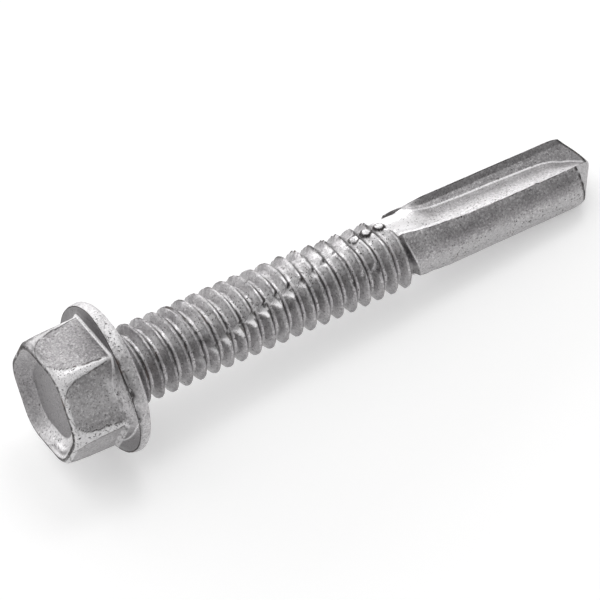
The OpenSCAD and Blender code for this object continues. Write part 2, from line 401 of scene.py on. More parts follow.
# %% Lumps of the head
lumps = (0.6 * unevenness(head_points, 0.9, 14) + 0.5 * unevenness(head_points, 0.33, 15)
         + 0.3 * unevenness(head_points, 0.14, 16))
rough_parts = (0.012 * head_band + 0.014 * of_kind("wall", "rim")
               + 0.02 * of_kind("rim side", "seam") + 0.012 * of_kind("flange", "foot"))
head_r = head_r + (rough_parts + 0.002) * lumps
head_r = np.where(of_kind("rim side", "seam") > 0, np.minimum(head_r, FLANGE_LIMIT), head_r)
short_side = 0.018 * bump(head_angle, -88, 48) * of_kind("rim side", "seam", "flange")
head_r = head_r * (1 - short_side)
head_s = head_s + 0.012 * of_kind("floor", "wall", "flange") * lumps
head_s = np.where(head_kind == "bearing", 0.0, np.minimum(head_s, 0))
print("largest radius of the flange", head_r.max().round(3))

# %% [markdown]
# ## Marks for the finish, and for painted light and shade
# Four marks go with the surface as attributes of its points, each from 0 to 1, and the zinc reads
# them by name. `seam` is where dirt sits, and it also carries painted shade and shadow in some
# lines and patches. Another is where the metal is rubbed bright, and it also carries painted
# highlights; another is where it is pale and mottled, and it also carries painted light; and the
# last is painted shade, grey and dark. They could be painted by hand, but worked out from the same
# rows and angles as the shape, they stay in place when a size changes. Angles say on which side of
# the screw a mark lies, as the photograph shows.

# %% Where things are on the head
wall_share = (head_r - floor_outline) / (mouth_outline - floor_outline)
side_share = (head_s - edge_s) / (SIDE_END - edge_s)
blotches = unevenness(head_points, 0.45, 17) + 0.6 * unevenness(head_points, 0.18, 18)
flat, wall, foot = of_kind("flat"), of_kind("wall"), of_kind("foot")
flange, rim_side = of_kind("flange"), of_kind("rim side")
# The dish's wall gets two ridges of painted highlight, and a valley of painted shade between them.
ridges = near(wall_share, 0.5, 0.1) + near(wall_share, 0.92, 0.05)
valley = near(wall_share, 0.74, 0.11) * bump(head_angle, 105, 45)
foot_zone = foot_low * ease(2.9, 3.45, depth_below + 0.15 * blotches) * bump(head_angle, 12, 34)
mouth_dirt = 0.6 + 0.3 * (blotches > -0.1) + 0.4 * bump(head_angle, 50, 50)
rim_dirt = (ease(0.75, 0.1, side_share) * bump(head_angle, 12, 50)
            + 1.1 * ease(0.35, 0.1, side_share) * bump(head_angle, 2, 44)
            + 0.4 * ease(0.5, 0.0, side_share) * bump(head_angle, 60, 60))
# Painted shade: a blotchy dark strip down the crown and the flats near their upper outline.
crown_shade = (ease(3.4, 2.0, depth_below) * bump(head_angle, -79, 18)
              * (0.5 + 0.2 * (blotches > 0) + 0.35 * ease(1.6, 0.4, depth_below)))
print("blotches from", blotches.min().round(2), "to", blotches.max().round(2))

# %% Marks on the head
# Painted light and shade in these marks: the last one is all painted shade, on the dish's floor,
# its far wall and its valley, on the flange, and on the upper sides of the rim and the flats; the
# ridges of the dish's wall get painted highlights; and the crown's strip in the seam mark is
# painted shade.
head_marks = {
    "band_and_light": head_band + 0.6 * wall * bump(head_angle, 110, 90) * (1 - valley)
            + 0.45 * flange * foot_low * bump(head_angle, 20, 50)
            + rim_side * (0.4 + 0.9 * bump(head_angle, -33, 26))
            * (0.55 + 0.45 * (blotches > -0.1))
            + flat * (0.8 * foot_zone + 0.28 * bump(head_angle, 17, 32))
            + 0.7 * foot * foot_low,
    "seam": head_line + of_kind("seam") + of_kind("rim") * mouth_dirt
            + wall * (wall_share > 0.9) * bump(head_angle, 52, 45)
            + flat * ease(0.05, 0.0, depth_below) * mouth_dirt
            + rim_side * np.clip(rim_dirt * (0.6 + blotches), 0, 0.9)
            + flange * (head_r > FLANGE_EDGE - 0.2) * bump(head_angle, 0, 45)
            + flat * crown_shade
            + 0.5 * foot * foot_low * (blotches > 0.3),
    "wear_and_highlight": 0.9 * foot * (1 - foot_low)
            + 0.9 * head_band * bump(head_angle, -13, 24) * ease(0.4, 1.0, depth_below)
            + wall * ridges * bump(head_angle, 105, 45)
            + 0.8 * flange * near(head_angle, 63 - 40 * (head_r - 4.7), 1.6),
    "painted_shade": 0.75 * of_kind("floor")
            + rim_side * 0.45 * bump(head_angle, -70, 34) * (0.5 + 0.5 * (blotches > 0))
            + flat * 0.7 * ease(0.6, 0.15, depth_below) * bump(head_angle, -62, 42)
            + flange * (1 - 0.15 * bump(head_angle, 80, 40) - bump(head_angle, 20, 50))
            + 0.6 * wall * bump(head_angle, -140, 100)
            + wall * valley
            + flat * (1 - head_band) * bump(head_angle, -43, 42)
            * (0.15 + 0.3 * ease(1.2, 3.2, depth_below)),
}
head_marks = {name: np.clip(np.broadcast_to(grid, head_r.shape), 0, 1)
              for name, grid in head_marks.items()}
print("mean of each mark", {name: grid.mean().round(3) for name, grid in head_marks.items()})

# %% The head's mesh
HEAD_SHARP = 32
head_order = np.arange(len(head_r))[:, None] + 0 * head_r
head = closed_mesh("screw_head", head_s, head_r * np.cos(head_phi), head_r * np.sin(head_phi),
                   head_marks, HEAD_SHARP, head_order)

# %% [markdown]
# ## The shank's columns and rows
# The thread and the drill are one surface. On the thread the columns stand at even angles. On
# the drill the same columns move to the corners of its section, so its lips, heels and creases
# stay sharp. The near half has more columns than the far one.
# Rows follow the crest: they climb one pitch in a turn, and stand closer together on the crest
# than on the flanks. Behind the last turn they ease back into level rings.

# %% Columns of the shank
PITCH = 1.0583
SEAM_ANGLE = -110.0
HALVES = [dict(lip=9, crease=8, wall=46, land=53), dict(lip=7, crease=6, wall=30, land=33)]
HEEL_SHARE = 98 / 180


def crowd_ends(count):
    """Shares from 0 to 1 that stand closer together near both ends: half even, half cosine."""
    even = np.arange(count) / count
    return 0.5 * even + 0.5 * (1 - np.cos(np.pi * even)) / 2


half_of, part_of, share_of = [], [], []
for half_index, counts in enumerate(HALVES):
    for part_index, count in enumerate(counts.values()):
        half_of.append(np.full(count, half_index))
        part_of.append(np.full(count, part_index))
        share_of.append(crowd_ends(count))
half_of, part_of, share_of = map(np.concatenate, (half_of, part_of, share_of))
IN_FLUTE = part_of < 3
flute_counts = [sum(list(counts.values())[:3]) for counts in HALVES]
flute_step = np.concatenate([np.arange(sum(counts.values())) for counts in HALVES])
across_flute = np.where(IN_FLUTE, flute_step / np.array(flute_counts)[half_of], 1.0)
print("columns", len(half_of))

# %% Rows of the shank
LAST_CREST = 20.947
ROW_OFFSETS = np.array([-0.529, -0.42, -0.33, -0.2, -0.11, -0.07, -0.035, 0,
                        0.035, 0.07, 0.11, 0.2, 0.33, 0.42])
ROOT_OFFSETS = np.array([0.27, 0.375, 0.475])
LEVEL_FROM, LEVEL_AT, LAND_CLEAR, FLUTE_CLEAR = 19.5, 22.1, 23.1, 26.5
SHOULDER = 35.94
climbing = (LAST_CREST + PITCH * np.arange(-21, 0)[:, None] + ROW_OFFSETS).ravel()
between_crests = (LAST_CREST + PITCH * np.arange(-9, -1)[:, None] + ROOT_OFFSETS).ravel()
climbing = np.sort(np.concatenate([climbing, between_crests]))
climbing = climbing[climbing < LEVEL_FROM]
row_base = np.concatenate([climbing, np.arange(LEVEL_FROM, LAND_CLEAR, 0.05),
                           np.arange(LAND_CLEAR, FLUTE_CLEAR, 0.13),
                           np.arange(FLUTE_CLEAR, SHOULDER, 0.17), [SHOULDER]])
climb = 1 - ease(LEVEL_FROM, LEVEL_AT, row_base)
even_angle = SEAM_ANGLE + 180 * half_of + 180 * np.where(
    IN_FLUTE, HEEL_SHARE * across_flute, HEEL_SHARE + (1 - HEEL_SHARE) * share_of)
shank_s = row_base[:, None] + PITCH * climb[:, None] * (even_angle[None, :] - SEAM_ANGLE) / 360
print("rows", len(row_base), "from", shank_s.min().round(2), "to", shank_s.max().round(2))

# %% [markdown]
# ## The edges that run along the drill
# Three lines shape each flute: the lip, where the wall cuts the drill's outside; the crease,
# where the wall meets the hollow back; and the heel, where the back comes out again. Each is a
# short table of places along the axis. Towards the thread the flute runs out into the core.

# %% Lines of the flute
HEEL_S = [19.5, 21.0, 21.75, 22.5, 23.2, 23.9, 24.5, 25.65, 26.8, 29.7, 33.4, 37.5]
HEEL_ANGLE = [-12.0, -16.4, -15.7, -13.3, -10.2, -7.9, -6.4, -4.9, -3.4, -2.2, -2.2, -2.2]
CREASE_S = [22.0, 24.07, 25.38, 27.72, 30.07, 32.43, 33.62, 34.21, 34.81, 35.4, 36.0, 36.6, 37.2]
CREASE_Y = [-1.9, -1.784, -1.588, -1.473, -1.426, -1.338, -1.274, -1.207, -1.074, -0.804,
            -0.636, -0.366, -0.07]
CREASE_X = 0.42
KNEE_X, KNEE_Y = 0.325, -1.93
LIP_ANGLE = -80.0
RUNOUT_FROM, RUNOUT_AT = 22.2, 25.5
HOLLOW = 0.15

formed = ease(RUNOUT_FROM, RUNOUT_AT, shank_s)
lip_angle = SEAM_ANGLE + (LIP_ANGLE - SEAM_ANGLE) * formed
heel_jag = np.stack([shank_s, 0 * shank_s + 7.0 * half_of, 0 * shank_s], -1)
heel_angle = np.interp(shank_s, HEEL_S, HEEL_ANGLE) + ease(21, 22.5, shank_s) * (
    0.7 * unevenness(heel_jag, 0.35, 21) + 0.5 * unevenness(heel_jag, 1.1, 22))
column_angle = np.where(IN_FLUTE, lip_angle + (heel_angle - lip_angle) * across_flute,
                        heel_angle + (lip_angle + 180 - heel_angle) * share_of)
turned = np.radians(column_angle)
thread_angle = column_angle + 180 * half_of
print("heel from", heel_angle[0, 0].round(1), "to", heel_angle[-1, 0].round(1))

# %% [markdown]
# ## The thread
# Two flat dies roll the thread in one pass. The metal rises between their ridges in two lips
# that nearly meet, which leaves a fine groove on the crest, and where there was too little
# metal the crest stays low and flat. One die has a row of wedges that press a V into every turn.
# Past that row the late turns stray: there the two dies didn't meet, and the crest runs on where
# the root should be, nearly half a pitch further towards the point.
# A ridge's height is a clamped ramp from root to crest over the distance to the crest's line.

# %% Sizes of the thread
MAJOR, MINOR = 2.71, 2.10
FULL_CREST = MAJOR + 0.02
CREST_HALF, FLANK = 0.08, 0.35
CREST_AT = 21.535
THREAD_END = (21.6, 21.95)
SPLIT_TURN = [-8, -7, -6, -5, -4, -3, -2, -1]
SPLIT_ANGLE = [-4, -8, -15, -23, -30, -33, -40, -46]
STRAY_S, STRAY = [11.5, 12.6, 13.9, 15.0, 16.2], [0, 0.1, 0.29, 0.36, 0.42]
LOW_CREST_S = [1.5, 2.7, 3.7, 4.8, 5.4, 6.4, 7.4, 9.4, 12.0, 13.1, 14.3, 15.4, 16.5, 17.5, 18.6,
               19.6, 20.6, 21.6]
LOW_CREST_R = [2.72, 2.72, 2.68, 2.606, 2.63, 2.69, 2.707, 2.707, 2.675, 2.63, 2.534, 2.44, 2.365,
               2.33, 2.33, 2.306, 2.29, 2.2]


def clamp_ramp(value, soft):
    """Ramp from 0 to 1 with soft ends: the half difference of two rooted squares, shifted."""
    return 0.5 * (np.sqrt(value ** 2 + soft ** 2) - np.sqrt((value - 1) ** 2 + soft ** 2) + 1)

print("thread", 2 * MAJOR, "mm over the crests and", 2 * MINOR, "mm over the roots")

# %% Each point's place on its turn
turn_count = (shank_s - CREST_AT) / PITCH - (thread_angle - 90) / 360
wrapped = (thread_angle + 200) % 360 - 200
split_angle = np.interp(turn_count, SPLIT_TURN, SPLIT_ANGLE)
strayed = np.interp(shank_s, STRAY_S, STRAY)
strayed = strayed * ease(split_angle + 6, -86, wrapped) * ease(-190, -130, wrapped)
turn_count = turn_count - strayed
from_crest = (turn_count - np.round(turn_count)) * PITCH
far = half_of == 1
place = np.stack([MAJOR * np.cos(turned), MAJOR * np.sin(turned), shank_s], -1)
place = np.where(far[None, :, None], place * [-1, -1, 1], place)
coarse, fine = unevenness(place, 0.8, 31), unevenness(place, 0.24, 32)
crest_shift = from_crest + 0.02 * coarse
sooner = 0.6 * ease(-26, -40, wrapped) * ease(-150, -115, wrapped)
fade = 1 - ease(*THREAD_END, shank_s + sooner)
print("late crests stray by up to", strayed.max().round(2), "of a pitch")

# %% Low crests and the ridges under them
low_crest = np.interp(shank_s, LOW_CREST_S, LOW_CREST_R)
late = ease(12, 15, shank_s)
early = 1 - ease(5.5, 8, shank_s)
squeeze = np.maximum(bump(thread_angle, -72 + 22 * early, 62), bump(thread_angle, 150, 55)) ** 0.6
ceiling = FULL_CREST - (FULL_CREST - low_crest) * np.minimum(squeeze * 1.25, 1)
ceiling = ceiling + 0.02 * fine + 0.012 * coarse
ceiling = ceiling + 0.08 * late * bump(thread_angle, -90, 35) * ease(2.69, 2.45, low_crest)
unfilled = ease(2.69, 2.60, ceiling)
fullness = np.clip((ceiling - MINOR) / (MAJOR - MINOR), 0, 1)
crest_half = CREST_HALF * fullness + 0.12 * early * unfilled
ridge_half = (CREST_HALF + FLANK) * (0.5 + 0.5 * fullness)
ramp = clamp_ramp((ridge_half - np.abs(crest_shift)) / (ridge_half - crest_half), 0.06)
thread_r = MINOR + (ceiling - MINOR) * ramp * fade
print("crests from", ceiling.min().round(2), "to", ceiling.max().round(2))

# %% The groove between the lips
groove_depth = 0.05 + 0.15 * unfilled * early
lips = groove_depth * near(crest_shift, 0, 0.03 + 0.05 * unfilled * early)
thread_r = thread_r - lips * fade * np.clip(early + 0.35 * (1 - late) * (coarse > 0), 0, 1)
tooth = 0.06 * near(from_crest, 0.03, 0.06) * late * bump(wrapped, -88, 45) * fade
thread_r = thread_r + tooth * (1 + 0.5 * fine)
print("groove up to", lips.max().round(3), "mm deep, crests now to", thread_r.max().round(3))

# %% [markdown]
# Near the point the crest never fills. On the last turns it is only a row of small flat pads
# with dark rims, one to a turn, where the two lips just meet.

# %% Pads on the last turns
PADS = [(19.84, -50.5, 1.0), (20.92, -52.5, 0.9), (18.85, -48.0, 0.5)]
PAD_R, PAD_LENGTH, PAD_WIDTH = 2.31, 0.33, 0.36
pad_r, pad_mark, pad_rim = 0 * thread_r, 0 * thread_r, 0 * thread_r
for pad_s, pad_angle, size in PADS:
    over = (shank_s - pad_s) / PAD_LENGTH
    round_way = np.radians(turn_from(thread_angle, pad_angle)) * PAD_R / PAD_WIDTH
    away = np.sqrt(over ** 2 + round_way ** 2) + 0.12 * fine
    pad_r = np.maximum(pad_r, MINOR + (PAD_R - MINOR) * size * ease(1.5, 0.95, away))
    pad_mark = np.maximum(pad_mark, size * ease(0.85, 0.7, away) * (0.4 + 0.4 * (fine > 0)))
    pad_rim = np.maximum(pad_rim, 2.2 * size * near(away, 1.08, 0.24) * (coarse > -0.6))
thread_r = np.maximum(thread_r, pad_r)
print("pad points", int(pad_mark.sum()))

# %% Sizes of the wedges
WEDGES = [(-15, 37.3, 0.5), (-14, 31.0, 0.8), (-13, 23.9, 1.1), (-12, 18.8, 1.2), (-11, 12.7, 1.2),
          (-10, 7.1, 1.2), (-9, 1.4, 1.2), (-8, -3.7, 1.1), (-7, -8.2, 0.7), (-6, -14.8, 0.8),
          (-5, -22.7, 0.8), (-4, -30.5, 0.7), (-3, -32.7, 0.6)]
STEPS = [(-3.56, 26.0, 0.5), (-2.38, 32.0, 1.0)]
CUTS = [(*wedge, 1) for wedge in WEDGES] + [(*step, -1) for step in STEPS]
WEDGE_BOTTOM, LOWER_SLOPE, UPPER_SLOPE = 2.13, 0.78, 3.0
WEDGE_RISE, WEDGE_LEAN, WEDGE_R, UNCUT = -0.33, -0.65, 2.6, 9.0
print("wedges", len(WEDGES), "and the same form upside down", len(STEPS))

# %% The row of wedges
wedge_mark, wedge_shade = 0 * thread_r, 0 * thread_r
for number, angle, size, upright in CUTS:
    bright = 1.0 if upright < 0 else size if number < -7 else 0.4
    for side in (0, 180):
        round_way = np.radians(turn_from(thread_angle - angle, side)) * WEDGE_R
        along = shank_s - CREST_AT - PITCH * ((angle + side - 90) / 360 + number)
        if side:
            along = (along + PITCH / 2) % PITCH - PITCH / 2
        away = round_way - size * (WEDGE_RISE + WEDGE_LEAN * (along + 0.01)) + 0.03 * fine
        away = away * upright
        bottom = WEDGE_BOTTOM + 0.5 * (1 - size)
        cut = bottom + np.maximum(LOWER_SLOPE * away, -UPPER_SLOPE * away)
        close = (np.abs(along) < 0.5) & (np.abs(round_way) < 1.1) & (shank_s < 21)
        cut = np.where(close, cut, UNCUT)
        inside = ease(0.0, 0.04, thread_r - cut)
        # One facet of each cut gets a painted highlight, and the other one painted shade.
        wedge_mark = np.maximum(wedge_mark, bright * inside * (away > 0))
        wedge_shade = np.maximum(wedge_shade, 1.2 * inside * (away < 0))
        thread_r = np.minimum(thread_r, cut)
thread_r = thread_r + 0.006 * fine
print("wedge points", int(wedge_mark.sum()))

# %% [markdown]
# ## The drill's outside
# Behind the last turn the core opens in a short cone, first on the side where the thread ends,
# and then the land runs on, very slightly thinner towards the point. Where the flute starts,
# the outside is still the bare core and swells up to the lip along a curve.

# %% Land, core and run-out
LAND_R, LAND_TAPER, TAPER_FROM, POINT_ROUND = 2.505, 0.0055, 22.8, 0.24
CORE_R, DRILL_R = 2.125, 2.5
CONE_LENGTH, CONE_RISE = 0.4, 0.38
SWELL_S = [22.0, 22.9, 23.28, 23.65, 24.0, 24.4, 24.75, 25.1, 25.6]
SWELL_R = [2.145, 2.145, 2.182, 2.223, 2.298, 2.38, 2.455, 2.5, 2.52]
land_edge_s = 21.75 + 0.7 * ease(-12, 80, column_angle)
up_cone = np.maximum(shank_s - land_edge_s + CONE_LENGTH, 0) / CONE_LENGTH
cone_r = CORE_R + CONE_RISE * up_cone ** 1.5


def tapered(s):
    """Radius of the land at a place along the axis: a straight taper, rounded off at the point."""
    return LAND_R - LAND_TAPER * (s - TAPER_FROM) - POINT_ROUND * ease(35.0, 36.5, s) ** 2


land_r = np.minimum(cone_r, tapered(shank_s))
swell_r = np.interp(shank_s, SWELL_S, SWELL_R)
outside = land_r + (np.minimum(swell_r, land_r) - land_r) * ease(72, 88, column_angle)
print("land radius at the shoulder", outside[-1].max().round(3))

# %% Thread and drill in one
in_runout = CORE_R + (swell_r - CORE_R) * ease(-60, -95, column_angle)
in_runout = np.minimum(in_runout, DRILL_R)
heel_rise = np.exp(-np.maximum(heel_angle - column_angle, 0) / 4.0)
flute_base = in_runout + np.maximum(land_r - in_runout, 0) * heel_rise
drill_r = np.where(IN_FLUTE, flute_base, outside)
to_drill = ease(21.3, 21.75, shank_s + 0.8 * sooner)
base_r = thread_r + (np.maximum(drill_r, thread_r * (to_drill < 0.999)) - thread_r) * to_drill
base_r = np.maximum(base_r, pad_r)
base_x, base_y = base_r * np.cos(turned), base_r * np.sin(turned)
print("radii from", base_r.min().round(3), "to", base_r.max().round(3))

# %% [markdown]
# ## The flute and the point
# The flute's section goes from the lip straight in to the knee and the crease, then out along
# the hollow back to the heel. The point is a cone ground to an included angle of 108 degrees,
# relieved behind each lip so that only the lip cuts. Each column of the flute runs on until it
# meets that cone; a few repeated substitutions find where.

# %% Sections of the flute
POINT_ANGLE = 108
CONE_SLOPE = 1 / np.tan(np.radians(POINT_ANGLE / 2))
APEX, RELIEF, TIP_R = 37.5, 0.5, 2.45
BLUNT, BLUNT_DROP = 0.02, 0.14


def flute_section(s):
    """Front and side distance of every column's flute point at a place along the axis.
    Formula: straight lines lip to knee to crease, and a line with a parabola's sag to the heel."""
    lip = np.radians(LIP_ANGLE)
    heel = np.radians(np.interp(s, HEEL_S, HEEL_ANGLE))
    edge_r = tapered(s)
    crease_y = np.interp(s, CREASE_S, CREASE_Y)
    knee_y = np.minimum(KNEE_Y, crease_y - 0.05)
    share = share_of[None, :]
    lip_x, lip_y = edge_r * np.cos(lip), edge_r * np.sin(lip)
    heel_x, heel_y = edge_r * np.cos(heel), edge_r * np.sin(heel)
    run_x, run_y = heel_x - CREASE_X, heel_y - crease_y
    length = np.hypot(run_x, run_y)
    sag = HOLLOW * 4 * share * (1 - share)
    wall_x = CREASE_X + run_x * share - sag * run_y / length
    wall_y = crease_y + run_y * share + sag * run_x / length
    ahead = [lip_x + (KNEE_X - lip_x) * share, KNEE_X + (CREASE_X - KNEE_X) * share, wall_x]
    aside = [lip_y + (knee_y - lip_y) * share, knee_y + (crease_y - knee_y) * share, wall_y]
    part = part_of[None, :]
    return np.choose(np.minimum(part, 2), ahead), np.choose(np.minimum(part, 2), aside)


def point_height(x, y):
    """Height of the ground cone over a point of the section, less the relief behind the lip."""
    r = np.hypot(x, y)
    angle = np.degrees(np.arctan2(y, x))
    angle = np.where(angle < LIP_ANGLE - 5, angle + 180, angle)
    behind = np.where(angle < 0, ease(-78, -8, angle), np.clip((100 - angle) / 100, 0, 1))
    cone = CONE_SLOPE * (np.sqrt(r * r + BLUNT) - BLUNT_DROP)
    return APEX - cone - RELIEF * behind * r / TIP_R


print("the point's cone is", (APEX - point_height(DRILL_R, 0.0)).round(2), "mm high on the land")

# %% Where each column meets the cone
STRETCH_FROM, SUBSTITUTIONS = 31.5, 30
top_s = np.full((1, len(half_of)), SHOULDER)
land_angle = np.radians(column_angle[-1:])
for _ in range(SUBSTITUTIONS):
    section_x, section_y = flute_section(top_s)
    section_x = np.where(IN_FLUTE, section_x, outside[-1:] * np.cos(land_angle))
    section_y = np.where(IN_FLUTE, section_y, outside[-1:] * np.sin(land_angle))
    top_s = 0.5 * top_s + 0.5 * point_height(section_x, section_y)
stretch = ease(STRETCH_FROM, SHOULDER, row_base)[:, None] * (row_base[:, None] > STRETCH_FROM)
drill_s = shank_s + (top_s - SHOULDER) * stretch
flute_x, flute_y = flute_section(drill_s)
shape_x = np.where(IN_FLUTE, base_x + (flute_x - base_x) * formed, base_x)
shape_y = np.where(IN_FLUTE, base_y + (flute_y - base_y) * formed, base_y)
print("columns end from", top_s.min().round(2), "to", top_s.max().round(2))

# %% The cone, and both halves together
shrink = np.concatenate([[0.995, 0.985], np.linspace(0.96, 0.04, 22)])[:, None]
cone_x, cone_y = shape_x[-1:] * shrink, shape_y[-1:] * shrink
cone_s = point_height(cone_x, cone_y)
all_x = np.concatenate([shape_x, cone_x])
all_y = np.concatenate([shape_y, cone_y])
all_s = np.concatenate([drill_s, cone_s])
turn_back = np.where(far, -1.0, 1.0)
all_x, all_y = all_x * turn_back, all_y * turn_back
shank_points = np.stack([all_x, all_y, all_s], -1)
scrape = ease(22.3, 23.5, all_s) * (0.010 * unevenness(shank_points * [1, 1, 0.35], 0.5, 41)
                                    + 0.004 * unevenness(shank_points, 0.16, 42))
all_x, all_y = all_x * (1 + scrape / DRILL_R), all_y * (1 + scrape / DRILL_R)
print("rows with the cone", len(all_s), "scraped by up to", np.abs(scrape).max().round(3), "mm")

# %% [markdown]
# ## Marks on the shank
# The same four marks go on the shank. A painted shadow lies in a thin line behind each crest,
# widest on the side towards the viewer, and painted shade, partly dirt, lies in spots on the flank
# towards the point. Crests and roots that face up carry painted highlights. The drill has dirt on
# its lips and in pits along the heel, painted highlights in the crease and where the land begins,
# and painted light and shade on its flutes and land.

# %% Painted shadow and dirt on the thread
on_thread = fade * (1 - to_drill)
speckled = 0.3 + 0.7 * (fine > -0.25)
# Painted shadow: a thin dark line in the groove behind each crest. Its width follows the angle at
# which the groove is seen, it is strongest on the side towards the viewer, and spots break it up.
viewer_side = 0.25 + 0.75 * bump(thread_angle, 12, 85) ** 0.6
line_width = 0.11 / (0.93 - 0.638 * np.cos(np.radians(thread_angle)))
crest_shadow = ease(0.05, 0.08, from_crest) * ease(line_width + 0.12, line_width, from_crest)
crest_shadow = crest_shadow * speckled * viewer_side
# Painted shade, partly dirt, in spots in the root before the flank towards the point.
tip_flank = 0.5 * near(from_crest, 0.38, 0.07) * (fine > -0.1) * viewer_side
# Painted shade along the crests near the upper outline, where they are seen at a grazing angle.
upper_side = near(from_crest, 0.0, 0.08) * (fine > -0.1) * np.maximum(
    bump(thread_angle, -89, 38), late * bump(thread_angle, -64, 32))
print("points in the line behind the crest", int((crest_shadow * on_thread).sum()))

# %% Bright places, painted highlights, light and shade of the thread
# Painted highlights on the crests and in the roots on the side that faces the lamps.
crest_top = near(from_crest, -0.04, 0.07) * bump(thread_angle, -22, 44) ** 0.7 * (coarse > -0.35)
root_bright = near(np.abs(from_crest), 0.53, 0.09) * bump(thread_angle, -28, 34) ** 0.7
root_bright = root_bright * (coarse > -0.5)
flecks = 0.7 * late * near(from_crest, 0.0, 0.3) * bump(thread_angle, -50, 24) * (fine > 0.25)
# Painted light on the flank towards the head, strongest on the side that faces the lamps.
head_flank = ease(-0.08, -0.2, from_crest) * (
    0.3 + 0.75 * bump(thread_angle, -16, 36) - 0.3 * bump(thread_angle, -80, 60))
shaded = 0.75 * bump(thread_angle, -84, 52) * (0.4 + 0.6 * (fine > -0.25))
shaded = shaded + 0.4 * bump(thread_angle, 84, 36)
print("bright points on the crests", int((crest_top * on_thread).sum()))

# %% Lines and patches of the drill
# Painted light on the flute's back, growing towards the heel.
near_heel = np.where(part_of == 2, 0.3 + 0.7 * ease(0.25, 0.9, share_of), 0.0) * formed
lip_edge = np.where((part_of == 0) & (share_of < 0.1), 1.0, 0.0)
lip_edge = lip_edge + np.where((part_of == 3) & (share_of > 0.975), 0.8, 0.0)
lip_edge = lip_edge * speckled * ease(21.9, 22.3, shank_s)
# Painted highlight along the crease.
crease_line = np.where((part_of == 2) & (share_of < 0.06), 1.0, 0.0) * formed
heel_pits = near(column_angle, heel_angle + 0.6, 1.3) * (fine > 0.1)
on_land = to_drill * ~IN_FLUTE
# The cone where the land begins gets painted shade.
on_cone = ease(1.05, 0.9, up_cone) * ease(-5, 25, column_angle)
# Painted highlight along the land's edge.
land_edge = near(up_cone, 1.06, 0.1) * ease(-12, 5, column_angle)
# Painted shade in a stripe along the land.
land_stripe = ease(23, 25, shank_s) * bump(column_angle, 24, 22)
# Painted light on the land's lower side, with a little dirt.
land_low = ease(30, 55, column_angle)
# Painted light on the flute's run-out.
runout = to_drill * (1 - formed) * IN_FLUTE * (1 - pad_rim.clip(0, 1))
print("points on the land", int(on_land.sum()), "and in the run-out", int(runout.sum()))

# %% Marks on the shank
CONE_ROWS = len(cone_s)


def with_cone(grid, value):
    """A mark on the shank's rows, carried on over the cone with one value."""
    on_rows = np.broadcast_to(grid, shank_s.shape)
    return np.concatenate([on_rows, np.full((CONE_ROWS, shank_s.shape[1]), value)])


# Painted light and shade in these marks: seam carries painted shadow behind the crests and painted
# shade on the upper outline and the cone besides dirt; the second carries painted highlights
# besides wear; the third is painted light; and the last is painted shade, on the wedges' shaded
# facets, behind the crests, towards both outlines, on the cone, in a stripe on the land and on the
# lips' facets.
shank_marks = {
    "seam": with_cone(on_thread * (0.8 * crest_shadow + tip_flank + upper_side) + pad_rim
                      + to_drill * (0.8 * heel_pits + lip_edge)
                      + on_land * (0.12 * land_low + 0.45 * on_cone * ease(40, 75, column_angle)),
                      0.05),
    "wear_and_highlight": with_cone((0.8 * crest_top + root_bright + flecks) * on_thread + wedge_mark
                      + crease_line + 0.9 * pad_mark + 0.9 * land_edge * on_land
                      + 0.85 * runout, 0.1),
    "band_and_light": with_cone(0.7 * near_heel + 0.55 * land_low * on_land + on_thread * head_flank, 0.2),
    "painted_shade": with_cone(wedge_shade + on_land * (0.9 * on_cone + 0.4 * land_stripe)
                      + 0.35 * to_drill * formed * (part_of == 0)
                      + on_thread * (crest_shadow + shaded), 0.35),
}
shoulder_rows = slice(-CONE_ROWS - 2, -CONE_ROWS + 2)
ragged_edge = (unevenness(shank_points, 0.3, 43) > -0.35) * 0.9
shank_marks["seam"][shoulder_rows] = ragged_edge[shoulder_rows]
shank_marks = {name: np.clip(grid, 0, 1) for name, grid in shank_marks.items()}
print("mean of each mark", {name: grid.mean().round(3) for name, grid in shank_marks.items()})

# %% The shank's mesh
SHANK_SHARP = 40
shank_order = np.concatenate([drill_s, top_s.max() + np.arange(CONE_ROWS)[:, None] + 0 * cone_s])
shank = closed_mesh("screw_shank", all_s, all_x, all_y, shank_marks, SHANK_SHARP, shank_order)

# %% [markdown]
# ## Zinc on steel
# The coat is thin and grey, slightly blue, with a fine grain. It is metal, so its colour is the
# colour of what it reflects, dimmed a little. Three things vary over it: the shade, in soft clouds
# and fine grains; the roughness; and dirt in seams and pits, which isn't metal. The marks also
# paint shade and shadow, light and highlights into its colour.
# Sizes are in metres, so a grain of a tenth of a millimetre needs a noise scale near 9000.

# %% A small hand for shader nodes
def add_node(tree, kind, settings=None, **inputs):
    """A new node with its settings, its constant inputs, and links from other nodes' outputs."""
    node = tree.nodes.new(kind)
    for name, value in (settings or {}).items():
        setattr(node, name, value)
    for name, value in inputs.items():
        socket = node.inputs[int(name[1:]) if name[0] == "i" and name[1:].isdigit()
                             else name.replace("_", " ")]
        if isinstance(value, bpy.types.NodeSocket):
            tree.links.new(value, socket)
        else:
            socket.default_value = value
    return node


def grain(tree, coords, scale, detail, rough=0.55):
    """Noise of a given fineness on the object's own coordinates."""
    return add_node(tree, "ShaderNodeTexNoise", Vector=coords, Scale=scale, Detail=detail,
                    Roughness=rough).outputs["Fac"]


def between(tree, value, low, high, to_low=0.0, to_high=1.0):
    """A value's share between two limits, eased and put on a new scale."""
    return add_node(tree, "ShaderNodeMapRange", {"interpolation_type": "SMOOTHSTEP"}, Value=value,
                    From_Min=low, From_Max=high, To_Min=to_low, To_Max=to_high).outputs["Result"]


def calc(tree, operation, first, second, clamp=False):
    """One sum on two values."""
    return add_node(tree, "ShaderNodeMath", {"operation": operation, "use_clamp": clamp},
                    i0=first, i1=second).outputs["Value"]


def times(tree, first, second):
    """The product of two values."""
    return calc(tree, "MULTIPLY", first, second)


